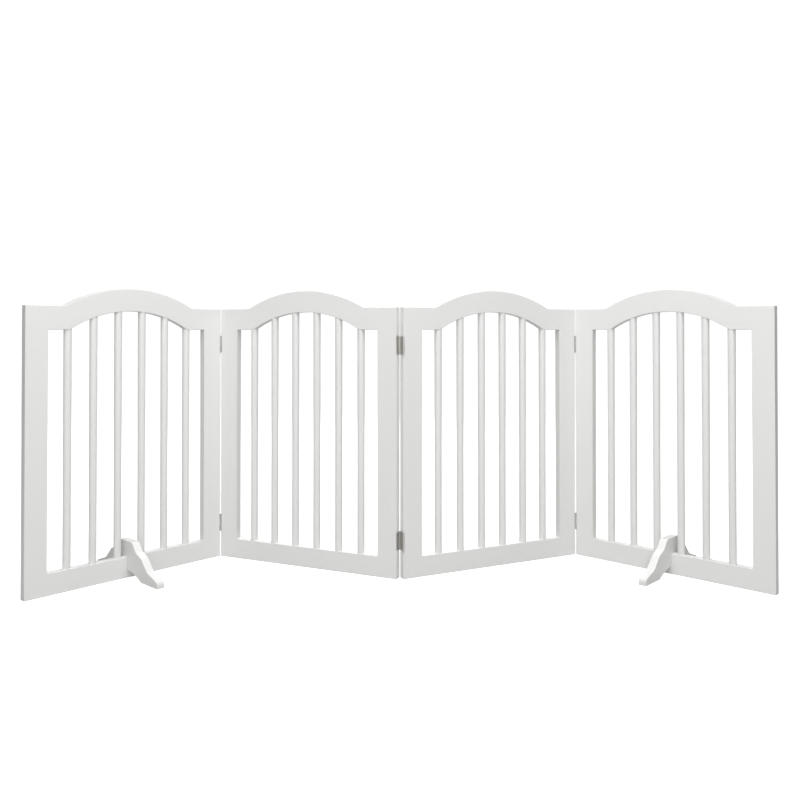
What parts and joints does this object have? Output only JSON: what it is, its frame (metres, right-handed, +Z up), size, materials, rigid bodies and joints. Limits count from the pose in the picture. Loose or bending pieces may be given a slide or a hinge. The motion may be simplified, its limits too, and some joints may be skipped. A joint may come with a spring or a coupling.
{
  "type": "pet gate",
  "caption": "Freestanding folding pet gate: arched wooden panels with upright dowels, double-acting hinges and saddle feet.",
  "frame": {"origin": "on the floor below the middle of the gate's bounding box, half folded as in use", "axes": "+X to the right along the gate seen from its front, +Y to the back, +Z up"},
  "size_m": [1.4852, 0.3552, 0.6096],
  "materials": {
    "white_lacquer": "sprayed satin white lacquer on solid softwood",
    "plated_steel": "pressed steel, nickel plated, satin"
  },
  "bodies": {
    "panel_1": {"panel_1_left_stile": "white_lacquer", "panel_1_right_stile": "white_lacquer", "panel_1_top_rail": "white_lacquer", "panel_1_bottom_rail": "white_lacquer", "panel_1_dowel_1": "white_lacquer", "panel_1_dowel_2": "white_lacquer", "panel_1_dowel_3": "white_lacquer", "panel_1_dowel_4": "white_lacquer", "panel_1_dowel_5": "white_lacquer", "panel_1_dowel_6": "white_lacquer", "hinge_12_lower_leaf_on_panel_1": "plated_steel", "hinge_12_upper_leaf_on_panel_1": "plated_steel"},
    "panel_2": {"panel_2_left_stile": "white_lacquer", "panel_2_right_stile": "white_lacquer", "panel_2_top_rail": "white_lacquer", "panel_2_bottom_rail": "white_lacquer", "panel_2_dowel_1": "white_lacquer", "panel_2_dowel_2": "white_lacquer", "panel_2_dowel_3": "white_lacquer", "panel_2_dowel_4": "white_lacquer", "panel_2_dowel_5": "white_lacquer", "panel_2_dowel_6": "white_lacquer", "hinge_12_lower_leaf_on_panel_2": "plated_steel", "hinge_12_upper_leaf_on_panel_2": "plated_steel", "hinge_23_lower_leaf_on_panel_2": "plated_steel", "hinge_23_upper_leaf_on_panel_2": "plated_steel"},
    "panel_3": {"panel_3_left_stile": "white_lacquer", "panel_3_right_stile": "white_lacquer", "panel_3_top_rail": "white_lacquer", "panel_3_bottom_rail": "white_lacquer", "panel_3_dowel_1": "white_lacquer", "panel_3_dowel_2": "white_lacquer", "panel_3_dowel_3": "white_lacquer", "panel_3_dowel_4": "white_lacquer", "panel_3_dowel_5": "white_lacquer", "panel_3_dowel_6": "white_lacquer", "hinge_23_lower_leaf_on_panel_3": "plated_steel", "hinge_23_upper_leaf_on_panel_3": "plated_steel", "hinge_34_lower_leaf_on_panel_3": "plated_steel", "hinge_34_upper_leaf_on_panel_3": "plated_steel"},
    "panel_4": {"panel_4_left_stile": "white_lacquer", "panel_4_right_stile": "white_lacquer", "panel_4_top_rail": "white_lacquer", "panel_4_bottom_rail": "white_lacquer", "panel_4_dowel_1": "white_lacquer", "panel_4_dowel_2": "white_lacquer", "panel_4_dowel_3": "white_lacquer", "panel_4_dowel_4": "white_lacquer", "panel_4_dowel_5": "white_lacquer", "panel_4_dowel_6": "white_lacquer", "hinge_34_lower_leaf_on_panel_4": "plated_steel", "hinge_34_upper_leaf_on_panel_4": "plated_steel"},
    "hinge_link_12": {"hinge_12_lower_link": "plated_steel", "hinge_12_upper_link": "plated_steel"},
    "hinge_link_23": {"hinge_23_lower_link": "plated_steel", "hinge_23_upper_link": "plated_steel"},
    "hinge_link_34": {"hinge_34_lower_link": "plated_steel", "hinge_34_upper_link": "plated_steel"},
    "left_foot": {"left_foot": "white_lacquer"},
    "right_foot": {"right_foot": "white_lacquer"}
  },
  "joints": [
    {"name": "hinge_12_front_pin", "type": "hinge", "parent": "hinge_link_12", "child": "panel_1", "pos_m": [-0.42379, 0.1465, 0], "axis": [0, 0, 1], "range_deg": [-70.62, 79.38]},
    {"name": "hinge_12_back_pin", "type": "hinge", "parent": "panel_2", "child": "hinge_link_12", "pos_m": [-0.41675, 0.1623, 0], "axis": [0, 0, 1], "range_deg": [-150, 0]},
    {"name": "hinge_23_back_pin", "type": "hinge", "parent": "hinge_link_23", "child": "panel_2", "pos_m": [-0.00821, -0.01959, 0], "axis": [0, 0, -1], "range_deg": [-49.89, 129.11]},
    {"name": "hinge_23_front_pin", "type": "hinge", "parent": "hinge_link_23", "child": "panel_3", "pos_m": [-0.00066, -0.03515, 0], "axis": [0, 0, 1], "range_deg": [-150, 0]},
    {"name": "hinge_34_front_pin", "type": "hinge", "parent": "hinge_link_34", "child": "panel_4", "pos_m": [0.40166, 0.16011, 0], "axis": [0, 0, -1], "range_deg": [-68.3, 81.7]},
    {"name": "hinge_34_back_pin", "type": "hinge", "parent": "panel_3", "child": "hinge_link_34", "pos_m": [0.3941, 0.17568, 0], "axis": [0, 0, -1], "range_deg": [-150, 0]},
    {"name": "left_foot_lift", "type": "slide", "parent": "panel_1", "child": "left_foot", "axis": [0, 0, 1], "range_m": [0, 0.06]},
    {"name": "right_foot_lift", "type": "slide", "parent": "panel_4", "child": "right_foot", "axis": [0, 0, 1], "range_m": [0, 0.06]}
  ]
}
